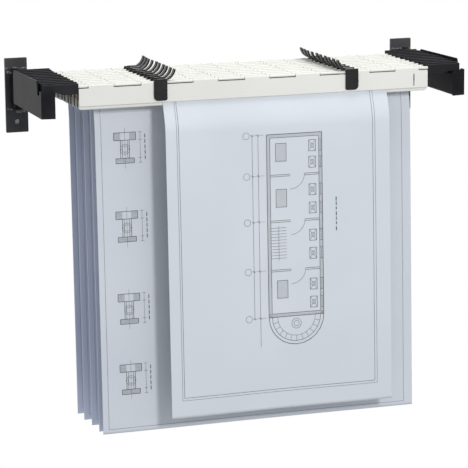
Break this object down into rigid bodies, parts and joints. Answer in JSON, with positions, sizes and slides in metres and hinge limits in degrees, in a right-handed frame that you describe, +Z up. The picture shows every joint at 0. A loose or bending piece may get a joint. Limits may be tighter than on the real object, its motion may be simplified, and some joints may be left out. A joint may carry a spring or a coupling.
{
  "type": "plan hanging rack",
  "caption": "Wall rack for large drawings: two brackets with arms carry clamping binders, each with a hinged front jaw and a pair of turning levers.",
  "frame": {"origin": "centre of the four bolt holes, on the back plane of the wall plates", "axes": "X along the binders, +Y into the wall, +Z up"},
  "size_m": [0.791, 0.283, 0.6531],
  "materials": {
    "black_steel": "satin black powder coat",
    "cream_steel": "satin cream powder coat",
    "black_plastic": "fine-grained black moulding",
    "drawing_paper": "smooth white drawing paper"
  },
  "bodies": {
    "wall_brackets": {"wall_plate_left": "black_steel", "wall_plate_right": "black_steel", "arm_left": "black_steel", "arm_right": "black_steel"},
    "binder_01": {"rear_jaw_01": "cream_steel", "hangers_01": "black_plastic", "drawing_sheet_01": "drawing_paper"},
    "front_jaw_01": {"front_jaw_01": "cream_steel"},
    "lever_left_01": {"lever_left_01": "black_steel"},
    "lever_right_01": {"lever_right_01": "black_steel"},
    "binder_02": {"rear_jaw_02": "cream_steel", "hangers_02": "black_plastic"},
    "front_jaw_02": {"front_jaw_02": "cream_steel"},
    "lever_left_02": {"lever_left_02": "black_steel"},
    "lever_right_02": {"lever_right_02": "black_steel"},
    "binder_03": {"rear_jaw_03": "cream_steel", "hangers_03": "black_plastic", "drawing_sheet_03": "drawing_paper"},
    "front_jaw_03": {"front_jaw_03": "cream_steel"},
    "lever_left_03": {"lever_left_03": "black_steel"},
    "lever_right_03": {"lever_right_03": "black_steel"},
    "binder_04": {"rear_jaw_04": "cream_steel", "hangers_04": "black_plastic", "drawing_sheet_04": "drawing_paper"},
    "front_jaw_04": {"front_jaw_04": "cream_steel"},
    "lever_left_04": {"lever_left_04": "black_steel"},
    "lever_right_04": {"lever_right_04": "black_steel"},
    "binder_05": {"rear_jaw_05": "cream_steel", "hangers_05": "black_plastic"},
    "front_jaw_05": {"front_jaw_05": "cream_steel"},
    "lever_left_05": {"lever_left_05": "black_steel"},
    "lever_right_05": {"lever_right_05": "black_steel"},
    "binder_06": {"rear_jaw_06": "cream_steel", "hangers_06": "black_plastic", "drawing_sheet_06": "drawing_paper"},
    "front_jaw_06": {"front_jaw_06": "cream_steel"},
    "lever_left_06": {"lever_left_06": "black_steel"},
    "lever_right_06": {"lever_right_06": "black_steel"},
    "binder_07": {"rear_jaw_07": "cream_steel", "hangers_07": "black_plastic"},
    "front_jaw_07": {"front_jaw_07": "cream_steel"},
    "lever_left_07": {"lever_left_07": "black_steel"},
    "lever_right_07": {"lever_right_07": "black_steel"},
    "binder_08": {"rear_jaw_08": "cream_steel", "hangers_08": "black_plastic", "drawing_sheet_08": "drawing_paper"},
    "front_jaw_08": {"front_jaw_08": "cream_steel"},
    "lever_left_08": {"lever_left_08": "black_steel"},
    "lever_right_08": {"lever_right_08": "black_steel"},
    "binder_09": {"rear_jaw_09": "cream_steel", "hangers_09": "black_plastic"},
    "front_jaw_09": {"front_jaw_09": "cream_steel"},
    "lever_left_09": {"lever_left_09": "black_steel"},
    "lever_right_09": {"lever_right_09": "black_steel"},
    "binder_10": {"rear_jaw_10": "cream_steel", "hangers_10": "black_plastic", "drawing_sheet_10": "drawing_paper"},
    "front_jaw_10": {"front_jaw_10": "cream_steel"},
    "lever_left_10": {"lever_left_10": "black_steel"},
    "lever_right_10": {"lever_right_10": "black_steel"}
  },
  "joints": [
    {"name": "binder_lift_01", "type": "slide", "parent": "wall_brackets", "child": "binder_01", "axis": [0, 0, 1], "range_m": [0, 0.025]},
    {"name": "jaw_open_01", "type": "hinge", "parent": "binder_01", "child": "front_jaw_01", "pos_m": [0, -0.2554, 0.0474], "axis": [-1, 0, 0], "range_deg": [0, 4.5], "stiffness_Nm_per_rad": 0.6, "springref_deg": -17.19},
    {"name": "lever_left_turn_01", "type": "hinge", "parent": "front_jaw_01", "child": "lever_left_01", "pos_m": [-0.1865, -0.258, 0.031], "axis": [0, -1, 0], "range_deg": [0, 27]},
    {"name": "lever_right_turn_01", "type": "hinge", "parent": "front_jaw_01", "child": "lever_right_01", "pos_m": [0.1865, -0.258, 0.031], "axis": [0, 1, 0], "range_deg": [0, 27]},
    {"name": "binder_lift_02", "type": "slide", "parent": "wall_brackets", "child": "binder_02", "axis": [0, 0, 1], "range_m": [0, 0.025]},
    {"name": "jaw_open_02", "type": "hinge", "parent": "binder_02", "child": "front_jaw_02", "pos_m": [0, -0.234, 0.0474], "axis": [-1, 0, 0], "range_deg": [0, 4.5], "stiffness_Nm_per_rad": 0.6, "springref_deg": -17.19},
    {"name": "lever_left_turn_02", "type": "hinge", "parent": "front_jaw_02", "child": "lever_left_02", "pos_m": [-0.1865, -0.2366, 0.031], "axis": [0, -1, 0], "range_deg": [0, 27]},
    {"name": "lever_right_turn_02", "type": "hinge", "parent": "front_jaw_02", "child": "lever_right_02", "pos_m": [0.1865, -0.2366, 0.031], "axis": [0, 1, 0], "range_deg": [0, 27]},
    {"name": "binder_lift_03", "type": "slide", "parent": "wall_brackets", "child": "binder_03", "axis": [0, 0, 1], "range_m": [0, 0.025]},
    {"name": "jaw_open_03", "type": "hinge", "parent": "binder_03", "child": "front_jaw_03", "pos_m": [-0.0007, -0.2126, 0.0474], "axis": [-1, 0, 0], "range_deg": [0, 4.5], "stiffness_Nm_per_rad": 0.6, "springref_deg": -17.19},
    {"name": "lever_left_turn_03", "type": "hinge", "parent": "front_jaw_03", "child": "lever_left_03", "pos_m": [-0.1872, -0.2152, 0.031], "axis": [0, -1, 0], "range_deg": [0, 27]},
    {"name": "lever_right_turn_03", "type": "hinge", "parent": "front_jaw_03", "child": "lever_right_03", "pos_m": [0.1858, -0.2152, 0.031], "axis": [0, 1, 0], "range_deg": [0, 27]},
    {"name": "binder_lift_04", "type": "slide", "parent": "wall_brackets", "child": "binder_04", "axis": [0, 0, 1], "range_m": [0, 0.025]},
    {"name": "jaw_open_04", "type": "hinge", "parent": "binder_04", "child": "front_jaw_04", "pos_m": [0.0002, -0.1912, 0.0474], "axis": [-1, 0, 0], "range_deg": [0, 4.5], "stiffness_Nm_per_rad": 0.6, "springref_deg": -17.19},
    {"name": "lever_left_turn_04", "type": "hinge", "parent": "front_jaw_04", "child": "lever_left_04", "pos_m": [-0.1863, -0.1938, 0.031], "axis": [0, -1, 0], "range_deg": [0, 27]},
    {"name": "lever_right_turn_04", "type": "hinge", "parent": "front_jaw_04", "child": "lever_right_04", "pos_m": [0.1867, -0.1938, 0.031], "axis": [0, 1, 0], "range_deg": [0, 27]},
    {"name": "binder_lift_05", "type": "slide", "parent": "wall_brackets", "child": "binder_05", "axis": [0, 0, 1], "range_m": [0, 0.025]},
    {"name": "jaw_open_05", "type": "hinge", "parent": "binder_05", "child": "front_jaw_05", "pos_m": [-0.0008, -0.1698, 0.0474], "axis": [-1, 0, 0], "range_deg": [0, 4.5], "stiffness_Nm_per_rad": 0.6, "springref_deg": -17.19},
    {"name": "lever_left_turn_05", "type": "hinge", "parent": "front_jaw_05", "child": "lever_left_05", "pos_m": [-0.1873, -0.1724, 0.031], "axis": [0, -1, 0], "range_deg": [0, 27]},
    {"name": "lever_right_turn_05", "type": "hinge", "parent": "front_jaw_05", "child": "lever_right_05", "pos_m": [0.1857, -0.1724, 0.031], "axis": [0, 1, 0], "range_deg": [0, 27]},
    {"name": "binder_lift_06", "type": "slide", "parent": "wall_brackets", "child": "binder_06", "axis": [0, 0, 1], "range_m": [0, 0.025]},
    {"name": "jaw_open_06", "type": "hinge", "parent": "binder_06", "child": "front_jaw_06", "pos_m": [0, -0.1484, 0.0474], "axis": [-1, 0, 0], "range_deg": [0, 4.5], "stiffness_Nm_per_rad": 0.6, "springref_deg": -17.19},
    {"name": "lever_left_turn_06", "type": "hinge", "parent": "front_jaw_06", "child": "lever_left_06", "pos_m": [-0.1865, -0.151, 0.031], "axis": [0, -1, 0], "range_deg": [0, 27]},
    {"name": "lever_right_turn_06", "type": "hinge", "parent": "front_jaw_06", "child": "lever_right_06", "pos_m": [0.1865, -0.151, 0.031], "axis": [0, 1, 0], "range_deg": [0, 27]},
    {"name": "binder_lift_07", "type": "slide", "parent": "wall_brackets", "child": "binder_07", "axis": [0, 0, 1], "range_m": [0, 0.025]},
    {"name": "jaw_open_07", "type": "hinge", "parent": "binder_07", "child": "front_jaw_07", "pos_m": [-0.0016, -0.127, 0.0474], "axis": [-1, 0, 0], "range_deg": [0, 4.5], "stiffness_Nm_per_rad": 0.6, "springref_deg": -17.19},
    {"name": "lever_left_turn_07", "type": "hinge", "parent": "front_jaw_07", "child": "lever_left_07", "pos_m": [-0.1881, -0.1296, 0.031], "axis": [0, -1, 0], "range_deg": [0, 27]},
    {"name": "lever_right_turn_07", "type": "hinge", "parent": "front_jaw_07", "child": "lever_right_07", "pos_m": [0.1849, -0.1296, 0.031], "axis": [0, 1, 0], "range_deg": [0, 27]},
    {"name": "binder_lift_08", "type": "slide", "parent": "wall_brackets", "child": "binder_08", "axis": [0, 0, 1], "range_m": [0, 0.025]},
    {"name": "jaw_open_08", "type": "hinge", "parent": "binder_08", "child": "front_jaw_08", "pos_m": [-0.0022, -0.1056, 0.0474], "axis": [-1, 0, 0], "range_deg": [0, 4.5], "stiffness_Nm_per_rad": 0.6, "springref_deg": -17.19},
    {"name": "lever_left_turn_08", "type": "hinge", "parent": "front_jaw_08", "child": "lever_left_08", "pos_m": [-0.1887, -0.1082, 0.031], "axis": [0, -1, 0], "range_deg": [0, 27]},
    {"name": "lever_right_turn_08", "type": "hinge", "parent": "front_jaw_08", "child": "lever_right_08", "pos_m": [0.1843, -0.1082, 0.031], "axis": [0, 1, 0], "range_deg": [0, 27]},
    {"name": "binder_lift_09", "type": "slide", "parent": "wall_brackets", "child": "binder_09", "axis": [0, 0, 1], "range_m": [0, 0.025]},
    {"name": "jaw_open_09", "type": "hinge", "parent": "binder_09", "child": "front_jaw_09", "pos_m": [-0.001, -0.0842, 0.0474], "axis": [-1, 0, 0], "range_deg": [0, 4.5], "stiffness_Nm_per_rad": 0.6, "springref_deg": -17.19},
    {"name": "lever_left_turn_09", "type": "hinge", "parent": "front_jaw_09", "child": "lever_left_09", "pos_m": [-0.1875, -0.0868, 0.031], "axis": [0, -1, 0], "range_deg": [0, 27]},
    {"name": "lever_right_turn_09", "type": "hinge", "parent": "front_jaw_09", "child": "lever_right_09", "pos_m": [0.1855, -0.0868, 0.031], "axis": [0, 1, 0], "range_deg": [0, 27]},
    {"name": "binder_lift_10", "type": "slide", "parent": "wall_brackets", "child": "binder_10", "axis": [0, 0, 1], "range_m": [0, 0.025]},
    {"name": "jaw_open_10", "type": "hinge", "parent": "binder_10", "child": "front_jaw_10", "pos_m": [0.0006, -0.0628, 0.0474], "axis": [-1, 0, 0], "range_deg": [0, 4.5], "stiffness_Nm_per_rad": 0.6, "springref_deg": -17.19},
    {"name": "lever_left_turn_10", "type": "hinge", "parent": "front_jaw_10", "child": "lever_left_10", "pos_m": [-0.1859, -0.0654, 0.031], "axis": [0, -1, 0], "range_deg": [0, 27]},
    {"name": "lever_right_turn_10", "type": "hinge", "parent": "front_jaw_10", "child": "lever_right_10", "pos_m": [0.1871, -0.0654, 0.031], "axis": [0, 1, 0], "range_deg": [0, 27]}
  ],
  "couplings": [
    {"joint": "lever_left_turn_01", "follows": "jaw_open_01", "ratio": 6},
    {"joint": "lever_right_turn_01", "follows": "jaw_open_01", "ratio": 6},
    {"joint": "lever_left_turn_02", "follows": "jaw_open_02", "ratio": 6},
    {"joint": "lever_right_turn_02", "follows": "jaw_open_02", "ratio": 6},
    {"joint": "lever_left_turn_03", "follows": "jaw_open_03", "ratio": 6},
    {"joint": "lever_right_turn_03", "follows": "jaw_open_03", "ratio": 6},
    {"joint": "lever_left_turn_04", "follows": "jaw_open_04", "ratio": 6},
    {"joint": "lever_right_turn_04", "follows": "jaw_open_04", "ratio": 6},
    {"joint": "lever_left_turn_05", "follows": "jaw_open_05", "ratio": 6},
    {"joint": "lever_right_turn_05", "follows": "jaw_open_05", "ratio": 6},
    {"joint": "lever_left_turn_06", "follows": "jaw_open_06", "ratio": 6},
    {"joint": "lever_right_turn_06", "follows": "jaw_open_06", "ratio": 6},
    {"joint": "lever_left_turn_07", "follows": "jaw_open_07", "ratio": 6},
    {"joint": "lever_right_turn_07", "follows": "jaw_open_07", "ratio": 6},
    {"joint": "lever_left_turn_08", "follows": "jaw_open_08", "ratio": 6},
    {"joint": "lever_right_turn_08", "follows": "jaw_open_08", "ratio": 6},
    {"joint": "lever_left_turn_09", "follows": "jaw_open_09", "ratio": 6},
    {"joint": "lever_right_turn_09", "follows": "jaw_open_09", "ratio": 6},
    {"joint": "lever_left_turn_10", "follows": "jaw_open_10", "ratio": 6},
    {"joint": "lever_right_turn_10", "follows": "jaw_open_10", "ratio": 6}
  ]
}
